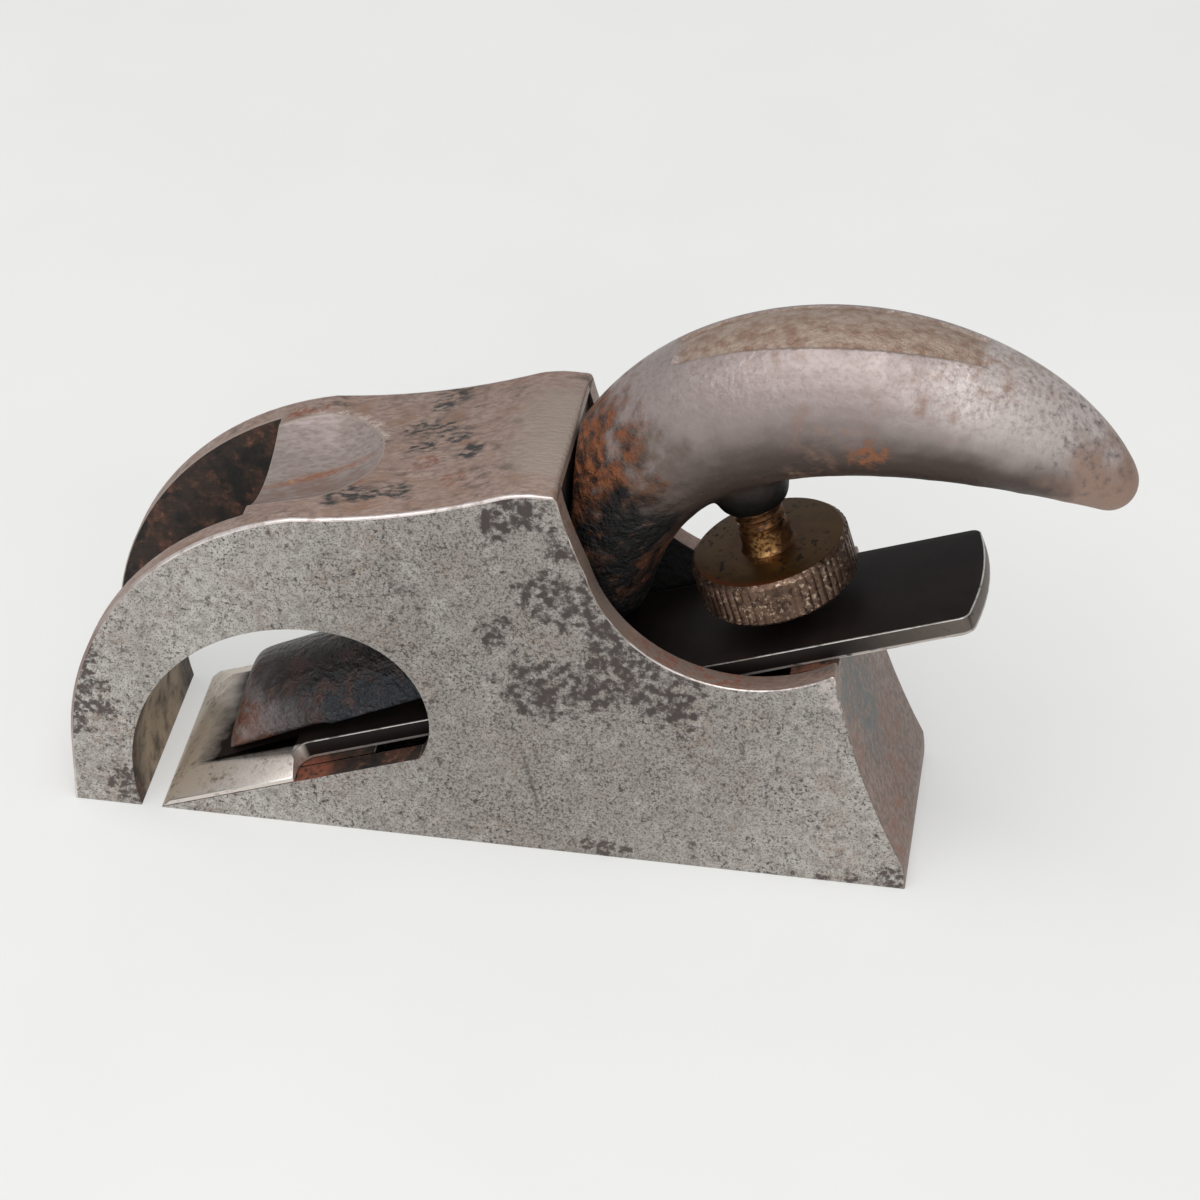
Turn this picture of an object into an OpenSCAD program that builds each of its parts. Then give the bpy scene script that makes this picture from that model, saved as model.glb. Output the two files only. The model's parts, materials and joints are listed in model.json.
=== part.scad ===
// Bullnose rebate plane, 4 in long, in millimetres.
// +X points to the heel, +Y to the far side, +Z up; the sole lies on z = 0 and the
// origin is the middle of the sole. Side outlines are drawn in X and Z and extruded in Y.

/* [Body] */
// length from nose to heel
body_length = 101.6; // [98:0.2:106]
// width across the two ground sides
body_width = 27; // [26:0.2:32]
// thickness of each cheek beside the slot
cheek = 3; // [2.6:0.1:3.6]
// radius of the nose seen from the side
nose_r = 36.6; // [36:0.1:37.2]
// height of the nose curve's centre
nose_z = 9; // [8.4:0.1:9.6]
// radius of the hollow rise on top of the bridge
rise_r = 88; // [80:0.5:100]
// distance of the rise's low point behind the nose
rise_setback = 19.8; // [18:0.1:22]
// depth of the rise's low point under the top of the nose curve
rise_dip = 1.4; // [1:0.1:1.8]
// height of the bridge at its rear edge
crest_z = 51.2; // [50:0.1:51.6]
// radius of the scoop behind the bridge
scoop_r = 19; // [18.4:0.1:19.4]
// distance of the scoop's low point behind the nose
scoop_setback = 80.8; // [80:0.1:82]
// height of the scoop's low point
scoop_low = 27; // [26:0.1:28]
// radius of the hollow from the bridge down to the scoop
brow_r = 58.5; // [54:0.5:64]
// lean of that hollow at the bridge's edge
brow_lean = 14; // [12:0.5:16]
// radius of the heel's hollow flare
flare_r = 110; // [100:1:140]
// height of the flare's centre
flare_z = 53.6; // [51:0.2:57]
// height at which the flare would meet the heel's end
flare_land = 2.7; // [1.5:0.1:4]
// radius that rounds the heel's foot
foot_r = 17; // [10:0.5:30]
// height of the bar that joins the cheeks at the toe
toe_height = 13; // [8:0.5:16]
// length of the toe's sole in front of the mouth
toe_length = 8.4; // [7.6:0.1:9]
// mouth opening between the toe and the cutting edge
mouth = 2.4; // [1.6:0.1:3]
// length of the bed behind the cutting edge
bed_length = 26; // [22:0.5:30]
// thickness of the sole behind the bed
sole_thickness = 6; // [4:0.5:8]
// distance of the heel's bed behind the nose
heel_setback = 91.2; // [90:0.2:92]
// thickness of the heel wall at the bed
heel_wall = 5; // [4:0.2:6.5]

/* [Side window] */
// radius of the window's front curve
window_r = 22.7; // [22.2:0.1:23]
// height of the front curve's centre
window_z = 6.3; // [5.8:0.1:6.8]
// radius of the window's upper rear curve
arch_r = 12.6; // [12:0.1:13]
// lean of the line on which the front and upper rear curves meet
arch_lean = 7.3; // [5:0.1:9]
// radius of the window's lower rear curve
heel_arch_r = 9.1; // [8.4:0.1:10]

/* [Bridge] */
// distance of the bridge's front edge behind the nose
bridge_setback = 21.8; // [20:0.2:23]
// distance of the bridge's rear edge behind the nose
bridge_end = 58.9; // [58:0.1:60]
// thickness of the bridge at its front edge
bridge_front = 7.5; // [6.5:0.5:9]
// thickness of the bridge at its rear edge
bridge_rear = 9.2; // [8:0.2:10]
// radius of the thumb hollow in the bridge
thumb_r = 15.7; // [14:0.1:18]
// depth of the thumb hollow under the rise's low point
thumb_depth = 2.9; // [2:0.1:3.6]
// distance of the thumb hollow's middle behind the bridge's front edge
thumb_setback = 3.4; // [2.5:0.1:5]
// distance of the fulcrum rib's centre behind the nose
rib_setback = 53.8; // [53:0.1:54.6]
// height of the fulcrum rib's centre
rib_z = 37; // [36.4:0.1:37.4]
// radius of the fulcrum rib
rib_r = 2; // [1.6:0.1:2.3]

/* [Cutter] */
// bed angle
bed_angle = 20.1; // [19.7:0.1:20.5]
// cutter thickness
cutter_t = 2.4; // [2:0.1:2.6]
// cutter length from the edge to the corners of its round end
cutter_length = 102.4; // [98:0.2:104]
// length of the wide head
head_length = 17.8; // [16:0.2:19]
// width of the tail
tail_width = 18.2; // [16:0.2:18.6]
// radius of the round end
tail_r = 34; // [20:1:60]
// radius of the round end's corners
corner_r = 1.5; // [0.5:0.1:3]
// angle ground on the cutting edge
grind_angle = 25; // [22:1:30]
// thickness left along the head's sides
ear_edge = 0.6; // [0.4:0.1:1]
// radius in the corner between head and tail
shoulder_r = 2; // [1:0.1:2.5]

/* [Lever cap] */
// distance of the neck's foot behind its flat front
neck_setback = 2.1; // [1.6:0.1:2.6]
// height of the neck's foot
neck_z = 33; // [32:0.5:34]
// radius of the neck's foot
neck_r = 7.1; // [6:0.1:8]
// lean of the neck from upright, towards the heel
neck_lean = 6.3; // [4:0.1:9]
// reach of the neck's pull on the horn's curve
neck_pull = 33.6; // [32:0.1:35]
// radius towards which the horn swells from the neck
swell_low = 9.9; // [9:0.1:10.5]
// distance of the horn's tip behind the neck's flat front
horn_reach = 60.8; // [58:0.2:64]
// height of the horn's tip
horn_tip_z = 52; // [50:0.2:54]
// radius of the horn's tip
horn_tip_r = 3.5; // [3:0.1:4]
// droop of the horn at its tip
horn_droop = 38.5; // [34:0.5:42]
// reach of the tip's pull on the horn's curve
horn_pull = 21.8; // [19:0.1:24]
// radius towards which the horn swells from its tip
swell_high = 12.7; // [12:0.1:13.2]
// distance of the tongue's tip behind the cutting edge
tip_setback = 7; // [5:0.2:9]
// lean of the tongue's blunt tip from upright
tip_lean = 12; // [0:1:20]
// length of the tongue
tongue_length = 48; // [44:0.5:50]
// radius of the tongue's round back
tongue_r = 9.3; // [8.6:0.1:9.4]
// angle between the tongue's underside and the cutter
tongue_rise = 5.4; // [4.6:0.1:6]
// thickness of the tongue at its middle
tongue_t = 6.7; // [5.5:0.1:7]
// radius of the knuckle that sits on the fulcrum rib
knuckle_r = 6; // [5:0.1:6.5]
// width of the knuckle
knuckle_width = 17; // [14:0.5:18]
// depth of the knuckle's flat top under the rib's centre
knuckle_drop = 0.6; // [0.4:0.1:1]
// gap between the boss and the head of the screw
boss_gap = 5.5; // [4:0.1:7]
// height of the boss under the horn
boss_height = 8; // [7:0.5:9]
// wall of the boss at its end
boss_wall = 0.7; // [0.5:0.1:1.5]
// widening of the boss towards the horn
boss_flare = 2.4; // [1:0.1:3]

/* [Thumb screw] */
// distance of the screw's foot behind the nose
screw_setback = 84.8; // [84:0.1:86]
// lean of the screw from upright, towards the nose
screw_lean = 17.2; // [16:0.2:19]
// diameter of the knurled head
head_d = 18.5; // [16:0.5:19]
// thickness of the knurled head
head_t = 5.6; // [4.6:0.1:6]
// chamfer on the head's rims
head_chamfer = 0.5; // [0.2:0.1:1]
// diameter over the thread
thread_d = 6; // [5.4:0.1:6.4]
// thread length above the head
shank_length = 14; // [12:0.5:15]
// chamfer on the thread's end
thread_chamfer = 0.6; // [0.3:0.1:1]
// width of the sloping collar at the thread's root
collar_width = 1.2; // [0.6:0.1:2]
// height of the collar
collar_height = 1.4; // [0.8:0.1:2]
// length of the foot under the head
foot_length = 3.1; // [2.9:0.1:3.6]
// diameter of the foot
foot_d = 5.6; // [4.6:0.1:6]

/* [Fits] */
// gap between the cutter and its bed
bed_fit = 0.05; // [0.02:0.01:0.1]
// gap each side between the head of the cutter and the body's sides
side_fit = 0.05; // [0.02:0.01:0.2]
// gap of the clamping faces on the cutter
clamp_fit = 0.12; // [0.08:0.01:0.2]
// running gap between the fulcrum rib and its seat
rib_fit = 0.08; // [0.04:0.01:0.1]
// gap between the bridge and the neck of the lever cap
neck_fit = 0.7; // [0.5:0.1:1]
// widening of the screw's bore, so that the lever can rock round it
bore_fit = 0.2; // [0.15:0.01:0.3]
// free depth of the bore above the screw's end
bore_spare = 2.4; // [1.6:0.1:3]

/* [Hidden] */
$fn = 96;
// reach of cutting shapes, and how far joined shapes run into each other
far = 2 * body_length;
lap = cheek / 2;
nose_x = -body_length / 2;
heel_x = body_length / 2;
nose_cx = nose_x + nose_r;
rise_low = nose_z + nose_r - rise_dip;
scoop_x = nose_x + scoop_setback;
scoop_z = scoop_low + scoop_r;
flare_x = heel_x + sqrt(pow(flare_r, 2) - pow(flare_z - flare_land, 2));
lip_x = nose_x + toe_length;
edge_x = lip_x + mouth;
window_x = lip_x + sqrt(pow(window_r, 2) - pow(window_z, 2));
arch_x = window_x + (window_r - arch_r) * sin(arch_lean);
arch_z = window_z + (window_r - arch_r) * cos(arch_lean);
rear_arch_x = arch_x + arch_r - heel_arch_r;
slot_width = body_width - 2 * cheek;
bridge_x0 = nose_x + bridge_setback;
bridge_x1 = nose_x + bridge_end;
under_z0 = nose_z + sqrt(pow(nose_r, 2) - pow(nose_cx - bridge_x0, 2)) - bridge_front;
under_z1 = crest_z - bridge_rear;
rib_x = nose_x + rib_setback;
wall_x = nose_x + heel_setback - heel_wall;
bed_end = edge_x + bed_length;
tongue_angle = bed_angle + tongue_rise;
tip_x = edge_x + tip_setback;
neck_x = bridge_x1 + neck_fit;
screw_x = nose_x + screw_setback;
foot_z = cutter_top(screw_x) + clamp_fit / cos(bed_angle);
dome_h = foot_d * (1 - cos(30));
head_s = dome_h + foot_length;
boss_s = head_s + head_t + boss_gap;
shank_s = head_s + head_t + shank_length;
bore_r = thread_d / 2 + bore_fit;
boss_r = bore_r + boss_wall;
// ends and handles of the horn's curve: X, Z and the radius of its round section
neck = [neck_x + neck_setback, neck_z, neck_r];
horn_tip = [neck_x + horn_reach, horn_tip_z, horn_tip_r];
neck_handle = [neck[0] + neck_pull * sin(neck_lean), neck_z + neck_pull * cos(neck_lean), swell_low];
tip_handle = [horn_tip[0] - horn_pull * cos(horn_droop), horn_tip_z + horn_pull * sin(horn_droop), swell_high];
horn_steps = 13;
horn = [for (i = [0:horn_steps]) curve(neck, neck_handle, tip_handle, horn_tip, i / horn_steps)];
// cones between the horn's balls are this much slimmer than the balls
slim = 0.985;

function bed_z(x) = (x - edge_x) * tan(bed_angle);
function cutter_top(x) = bed_z(x) + (bed_fit + cutter_t) / cos(bed_angle);
function curve(a, b, c, d, t) =
  a * pow(1 - t, 3) + 3 * b * t * pow(1 - t, 2) + 3 * c * t * t * (1 - t) + d * pow(t, 3);

// a side outline, drawn in X and Z, as a slab of this width centred on y = 0
module slab(width) {
  translate([0, width / 2, 0]) rotate([90, 0, 0]) linear_extrude(width) children();
}

// everything above, or left of, a line through a point at an angle
module above(x, z, angle) {
  translate([x, z]) rotate(angle) translate([-far, 0]) square([2 * far, far]);
}

module body_outline() {
  difference() {
    intersection() {
      translate([nose_x, 0]) square([body_length, crest_z]);
      union() {
        translate([nose_cx, nose_z]) circle(nose_r);
        translate([nose_x, 0]) square([body_length, nose_z]);
        translate([nose_cx - 2 * lap, 0]) square([far, crest_z]);
      }
    }
    translate([nose_x + rise_setback, rise_low + rise_r]) circle(rise_r);
    translate([scoop_x, scoop_z]) circle(scoop_r);
    intersection() {
      translate([bridge_x1 + brow_r * cos(brow_lean), crest_z + brow_r * sin(brow_lean)]) circle(brow_r);
      translate([0, scoop_z - scoop_r / 2]) square([far, far]);
    }
    translate([flare_x, flare_z]) circle(flare_r);
    difference() {
      translate([heel_x - foot_r, 0]) square([far, 2 * flare_land]);
      translate([heel_x - foot_r, 0]) circle(foot_r);
    }
  }
}

module window_outline() {
  intersection() {
    above(edge_x, 0, bed_angle);
    union() {
      intersection() {
        translate([window_x, window_z]) circle(window_r);
        above(window_x, window_z, 90 - arch_lean);
      }
      intersection() {
        translate([arch_x, arch_z]) circle(arch_r);
        translate([arch_x - 2 * lap, arch_z]) square([far, far]);
      }
      translate([rear_arch_x, arch_z]) circle(heel_arch_r);
      translate([window_x - 2 * lap, 0]) square([rear_arch_x - window_x + 2 * lap, arch_z + lap]);
    }
  }
}

// the slot between the cheeks: over the toe, under the bridge, behind it and down to the sole
module slot_outline() {
  polygon([
    [nose_x - lap, toe_height], [nose_x - lap, far], [bridge_x0, far], [bridge_x0, under_z0],
    [bridge_x1, under_z1], [bridge_x1, far], [heel_x + lap, far], [heel_x + lap, bed_z(heel_x + lap)],
    [wall_x, bed_z(wall_x)], [wall_x, sole_thickness], [bed_end, sole_thickness],
    [bed_end, bed_z(bed_end)], [edge_x, 0], [lip_x + mouth / 2, 0], [lip_x + mouth / 2, toe_height]
  ]);
}

module body() {
  color([0.55, 0.54, 0.52]) {
    difference() {
      slab(body_width) body_outline();
      slab(body_width + 2 * lap) window_outline();
      slab(slot_width) slot_outline();
      translate([bridge_x0 + thumb_setback, 0, rise_low - thumb_depth + thumb_r]) sphere(thumb_r);
    }
    translate([rib_x - rib_r, -slot_width / 2 - lap, rib_z])
      cube([2 * rib_r, slot_width + 2 * lap, under_z1 - rib_z]);
    translate([rib_x, slot_width / 2 + lap, rib_z]) rotate([90, 0, 0])
      cylinder(r = rib_r, h = slot_width + 2 * lap);
  }
}

module cutter_outline(wide) {
  corner_y = tail_width / 2 - corner_r;
  round_x = cutter_length - sqrt(pow(tail_r, 2) - pow(tail_width / 2, 2));
  corner_x = round_x + sqrt(pow(tail_r, 2) - pow(corner_y, 2)) - corner_r;
  difference() {
    union() {
      translate([0, -wide / 2]) square([head_length, wide]);
      translate([shoulder_r, -tail_width / 2]) square([cutter_length - shoulder_r, tail_width]);
      translate([shoulder_r, -tail_width / 2 - shoulder_r]) square([head_length, tail_width + 2 * shoulder_r]);
      intersection() {
        translate([round_x, 0]) circle(tail_r);
        translate([head_length, -tail_width / 2]) square([far, tail_width]);
      }
    }
    for (s = [-1, 1]) {
      translate([head_length + shoulder_r, s * (tail_width / 2 + shoulder_r)]) circle(shoulder_r);
      difference() {
        translate([corner_x, s > 0 ? corner_y : -corner_y - 2 * corner_r]) square(2 * corner_r);
        translate([corner_x, s * corner_y]) circle(corner_r);
      }
    }
  }
}

// the cutter lies flat with its edge on the Y axis, then tips up onto the bed
module cutter() {
  wide = body_width - 2 * side_fit;
  ear_slope = atan((cutter_t - ear_edge) * 2 / (wide - tail_width));
  color([0.32, 0.3, 0.28]) translate([edge_x, 0, 0]) rotate([0, -bed_angle, 0]) translate([0, 0, bed_fit])
    difference() {
      linear_extrude(cutter_t) cutter_outline(wide);
      rotate([0, -grind_angle, 0]) translate([-lap, -wide, 0]) cube([head_length, 2 * wide, head_length]);
      for (s = [-1, 1])
        translate([-lap, s * tail_width / 2, cutter_t]) rotate([-s * ear_slope, 0, 0])
          translate([0, s > 0 ? 0 : -wide, 0]) cube([head_length + lap, wide, wide]);
    }
}

// the screw's own frame: origin at its foot on the cutter, +Z up along the screw
module on_screw() {
  translate([screw_x, 0, foot_z]) rotate([0, -screw_lean, 0]) children();
}

module ball(p) {
  translate([p[0], 0, p[1]]) sphere(p[2]);
}

// a cone that runs from one ball to the next, close under their common tangents
module link(p, q) {
  d = norm([q[0] - p[0], q[1] - p[1]]);
  s = (p[2] - q[2]) / d;
  k = slim * sqrt(1 - s * s);
  translate([p[0], 0, p[1]]) rotate([0, atan2(q[0] - p[0], q[1] - p[1]), 0])
    translate([0, 0, p[2] * s]) cylinder(h = d - (p[2] - q[2]) * s, r1 = p[2] * k, r2 = q[2] * k);
}

module lever_cap() {
  color([0.4, 0.33, 0.3]) difference() {
    union() {
      for (p = horn) ball(p);
      for (i = [1:horn_steps]) link(horn[i - 1], horn[i]);
      translate([tip_x, 0, cutter_top(tip_x)]) rotate([0, 90 - tongue_angle, 0])
        translate([tongue_r - tongue_t, 0, -tongue_t]) cylinder(r = tongue_r, h = tongue_length + tongue_t);
      translate([rib_x, knuckle_width / 2, rib_z]) rotate([90, 0, 0])
        cylinder(r = knuckle_r, h = knuckle_width);
      on_screw() translate([0, 0, boss_s])
        cylinder(h = boss_height, r1 = boss_r, r2 = boss_r + boss_flare);
    }
    // flat underside of the tongue
    translate([tip_x, 0, cutter_top(tip_x) + clamp_fit / cos(bed_angle)]) rotate([0, -tongue_angle, 0])
      translate([-tongue_length, -far / 2, -tongue_length]) cube([2.3 * tongue_length, far, tongue_length]);
    // blunt tip
    translate([tip_x, 0, cutter_top(tip_x)]) rotate([0, tip_lean, 0])
      translate([-far, -far / 2, -far / 2]) cube([far, far, far]);
    // flat front of the neck and the top of the knuckle, clear of the bridge
    translate([neck_x - far, -far / 2, rib_z - knuckle_drop]) cube([far, far, far]);
    // seat for the fulcrum rib
    translate([rib_x, far / 2, rib_z]) rotate([90, 0, 0]) cylinder(r = rib_r + rib_fit, h = far);
    // the screw's bore
    on_screw() translate([0, 0, boss_s - lap])
      cylinder(h = shank_s - boss_s + lap + bore_spare, r1 = bore_r, r2 = bore_r + 1.6 * bore_fit);
  }
}

module thumb_screw() {
  color([0.5, 0.43, 0.27]) on_screw() {
    intersection() {
      translate([0, 0, foot_d]) sphere(foot_d);
      cylinder(d = foot_d, h = dome_h + foot_length / 2);
    }
    translate([0, 0, dome_h]) cylinder(d = foot_d, h = foot_length + head_t / 2);
    translate([0, 0, head_s]) rotate_extrude() polygon([
      [0, 0], [head_d / 2 - head_chamfer, 0], [head_d / 2, head_chamfer],
      [head_d / 2, head_t - head_chamfer], [head_d / 2 - head_chamfer, head_t],
      [thread_d / 2 + collar_width, head_t], [thread_d / 2, head_t + collar_height],
      [thread_d / 2, head_t + shank_length - thread_chamfer],
      [thread_d / 2 - thread_chamfer, head_t + shank_length], [0, head_t + shank_length]
    ]);
  }
}

body();
cutter();
lever_cap();
thumb_screw();
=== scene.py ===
# A small bullnose rebate plane standing on its sole: an iron body, a steel cutter bedded in it,
# and an iron lever cap clamped by a knurled thumb screw. Lengths are metres unless a name ends in _mm.
import json
import math
import bpy
from mathutils import Matrix, Vector

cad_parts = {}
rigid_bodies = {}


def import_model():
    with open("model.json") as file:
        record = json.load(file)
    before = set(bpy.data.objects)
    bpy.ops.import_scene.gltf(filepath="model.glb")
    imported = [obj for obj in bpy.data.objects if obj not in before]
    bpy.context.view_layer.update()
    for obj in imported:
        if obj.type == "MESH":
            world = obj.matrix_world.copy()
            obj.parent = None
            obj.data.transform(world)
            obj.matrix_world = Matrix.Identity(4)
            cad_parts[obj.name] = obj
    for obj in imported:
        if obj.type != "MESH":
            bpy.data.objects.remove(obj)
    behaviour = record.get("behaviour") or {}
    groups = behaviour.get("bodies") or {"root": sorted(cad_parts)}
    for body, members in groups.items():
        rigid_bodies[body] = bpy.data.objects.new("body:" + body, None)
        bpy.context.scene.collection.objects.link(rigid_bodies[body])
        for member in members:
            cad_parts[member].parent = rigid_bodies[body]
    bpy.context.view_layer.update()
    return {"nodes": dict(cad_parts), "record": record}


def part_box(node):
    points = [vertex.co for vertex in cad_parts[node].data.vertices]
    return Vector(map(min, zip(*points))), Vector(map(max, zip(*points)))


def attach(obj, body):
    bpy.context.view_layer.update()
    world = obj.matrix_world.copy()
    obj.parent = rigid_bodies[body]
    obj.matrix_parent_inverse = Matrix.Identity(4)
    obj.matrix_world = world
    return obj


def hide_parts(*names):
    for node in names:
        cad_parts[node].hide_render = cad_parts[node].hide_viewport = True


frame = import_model()


# The body is one grey iron casting: sole, two cheeks, toe, bridge and heel. Its sides and sole were
# ground bright and have pitted and stained since; the rest is as cast, and brown from handling.

MM = 0.001
HALF_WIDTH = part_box("body")[1].y
NEAR_SIDE_MM = -HALF_WIDTH / MM


def work_on(piece):
    """Selects one object alone and makes it the active one."""
    bpy.ops.object.select_all(action="DESELECT")
    piece.select_set(True)
    bpy.context.view_layer.objects.active = piece


def select_none(piece, kind):
    """Clears what is selected in a piece's mesh, so that one kind of element can be chosen."""
    work_on(piece)
    bpy.ops.object.mode_set(mode="EDIT")
    bpy.ops.mesh.select_mode(type=kind)
    bpy.ops.mesh.select_all(action="DESELECT")
    bpy.ops.object.mode_set(mode="OBJECT")


def make_whole(piece):
    """Merges a piece's corners and joins the triangles of each flat face."""
    work_on(piece)
    bpy.ops.object.mode_set(mode="EDIT")
    bpy.ops.mesh.select_all(action="SELECT")
    bpy.ops.mesh.remove_doubles(threshold=0.001 * MM)
    bpy.ops.mesh.dissolve_limited(angle_limit=math.radians(0.3))
    bpy.ops.object.mode_set(mode="OBJECT")


def copy_solid(node, name):
    """A new piece with a solid's shape, its flat faces whole."""
    piece = bpy.data.objects.new(name, frame["nodes"][node].data.copy())
    bpy.context.scene.collection.objects.link(piece)
    piece.data.materials.clear()
    work_on(piece)
    bpy.ops.mesh.customdata_custom_splitnormals_clear()
    make_whole(piece)
    return piece


def apply_modifier(piece, kind, **settings):
    """Adds one modifier with its settings and applies it."""
    work_on(piece)
    modifier = piece.modifiers.new(kind.lower(), kind)
    for name, value in settings.items():
        setattr(modifier, name, value)
    bpy.ops.object.modifier_apply(modifier=modifier.name)


def linear(hex_colour):
    """An sRGB hex colour as the linear colour that a shader takes."""
    parts = [int(hex_colour[i:i + 2], 16) / 255 for i in (1, 3, 5)]
    return [p / 12.92 if p <= 0.04045 else ((p + 0.055) / 1.055) ** 2.4 for p in parts] + [1.0]


def add(tree, kind, sockets, out=0, **settings):
    """Adds one node with its settings, fills or links its sockets, and gives back one output."""
    node = tree.nodes.new(kind)
    for name, value in settings.items():
        setattr(node, name, value)
    for name, value in sockets.items():
        if isinstance(value, bpy.types.NodeSocket):
            tree.links.new(value, node.inputs[name])
        else:
            node.inputs[name].default_value = value
    return node.outputs[out]


def new_material(name):
    """A material with its principled shader, as (material, tree, shader)."""
    material = bpy.data.materials.new(name)
    material.use_nodes = True
    return material, material.node_tree, material.node_tree.nodes["Principled BSDF"]


def blotches(tree, size_mm, low, high, stretch=(1, 1, 1), detail=3.0, shift=0.0, crowd=None, pull=0.0):
    """A mask of cloudy patches about size_mm across: 0 under the noise level low, 1 over high.
    Where a mask is given as crowd, it lifts the noise by up to pull, and the patches run together there."""
    where = add(tree, "ShaderNodeTexCoord", {}, out="Object")
    where = add(tree, "ShaderNodeMapping", {"Vector": where, "Location": [shift] * 3, "Scale": stretch})
    noise = add(tree, "ShaderNodeTexNoise",
                {"Vector": where, "Scale": 1 / (size_mm * MM), "Detail": detail, "Roughness": 0.6})
    if crowd is not None:
        noise = add(tree, "ShaderNodeMath", {0: crowd, 1: pull, 2: noise}, operation="MULTIPLY_ADD")
    return add(tree, "ShaderNodeMapRange", {"Value": noise, "From Min": low, "From Max": high},
               interpolation_type="SMOOTHSTEP")


def around(tree, place_mm, reach_mm, ragged=0.5, grain_mm=3.0):
    """A mask that is 1 at a place and fades out at reach_mm from it, with a ragged outline."""
    where = add(tree, "ShaderNodeTexCoord", {}, out="Object")
    place = [c * MM for c in place_mm]
    away = add(tree, "ShaderNodeVectorMath", {0: where, 1: place}, out="Value", operation="DISTANCE")
    noise = add(tree, "ShaderNodeTexNoise", {"Vector": where, "Scale": 1 / (grain_mm * MM), "Detail": 4.0})
    edge = add(tree, "ShaderNodeMath", {0: away, 1: 1 / (reach_mm * MM)}, operation="MULTIPLY")
    edge = add(tree, "ShaderNodeMath", {0: noise, 1: 2 * ragged, 2: edge}, operation="MULTIPLY_ADD")
    return add(tree, "ShaderNodeMapRange",
               {"Value": edge, "From Min": 1.0 + ragged, "From Max": 0.4 + ragged},
               interpolation_type="SMOOTHSTEP")


def stroke(tree, middle_mm, half_size_mm, turn):
    """A mask for one streak: its middle, half its size each way, and how it is turned, in degrees."""
    where = add(tree, "ShaderNodeTexCoord", {}, out="Object")
    where = add(tree, "ShaderNodeMapping", {"Vector": where, "Location": [c * MM for c in middle_mm],
                                            "Rotation": [math.radians(angle) for angle in turn],
                                            "Scale": [half * MM for half in half_size_mm]},
                vector_type="TEXTURE")
    away = add(tree, "ShaderNodeVectorMath", {0: where}, out="Value", operation="LENGTH")
    return add(tree, "ShaderNodeMapRange", {"Value": away, "From Min": 1.0, "From Max": 0.3})


def overlap(tree, masks):
    """Where all of several masks are."""
    mask = masks[0]
    for other in masks[1:]:
        mask = add(tree, "ShaderNodeMath", {0: mask, 1: other}, operation="MULTIPLY")
    return mask


def either(tree, masks):
    """Where any of several masks is."""
    mask = masks[0]
    for other in masks[1:]:
        mask = add(tree, "ShaderNodeMath", {0: mask, 1: other}, operation="MAXIMUM")
    return mask


def around_any(tree, spots_mm, **outline):
    """A mask around several spots, each given by its place and its reach."""
    return either(tree, [around(tree, place, reach, **outline) for place, reach in spots_mm])


def coats(tree, colour, layers):
    """Lays colours over one another, each through its own mask; Mix has sockets of one name, so by number."""
    for mask, hex_colour in layers:
        colour = add(tree, "ShaderNodeMix", {0: mask, 6: colour, 7: linear(hex_colour)},
                     out=2, data_type="RGBA")
    return colour


def blend_numbers(tree, number, layers):
    """Lays numbers over one another, each through its own mask."""
    for mask, value in layers:
        number = add(tree, "ShaderNodeMix", {0: mask, 2: number, 3: value})
    return number


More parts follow.
